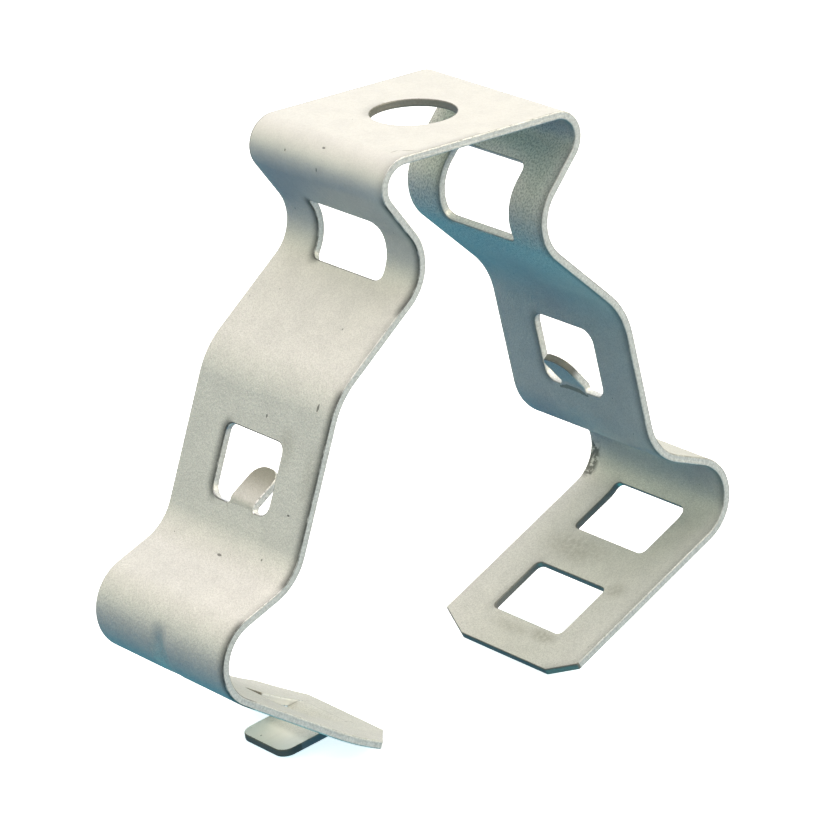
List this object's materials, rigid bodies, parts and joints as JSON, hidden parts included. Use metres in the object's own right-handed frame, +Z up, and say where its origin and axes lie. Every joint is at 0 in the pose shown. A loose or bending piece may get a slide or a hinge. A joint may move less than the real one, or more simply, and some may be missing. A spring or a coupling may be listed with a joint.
{
  "type": "snap close conduit clamp",
  "caption": "Spring steel conduit clamp folded from one pierced strip, with a bolt hole on top, a hooked left foot and a slotted right foot that snap together round a conduit.",
  "frame": {"origin": "centre of the bolt hole in the upper face of the top plate", "axes": "+Z up along the bolt hole, +X from the hooked leg to the slotted leg, +Y across the strip"},
  "size_m": [0.0591, 0.019, 0.0553],
  "materials": {
    "spring_steel": "matt zinc flake coat on spring steel"
  },
  "bodies": {
    "root": {"clamp_strap": "spring_steel"}
  },
  "joints": []
}
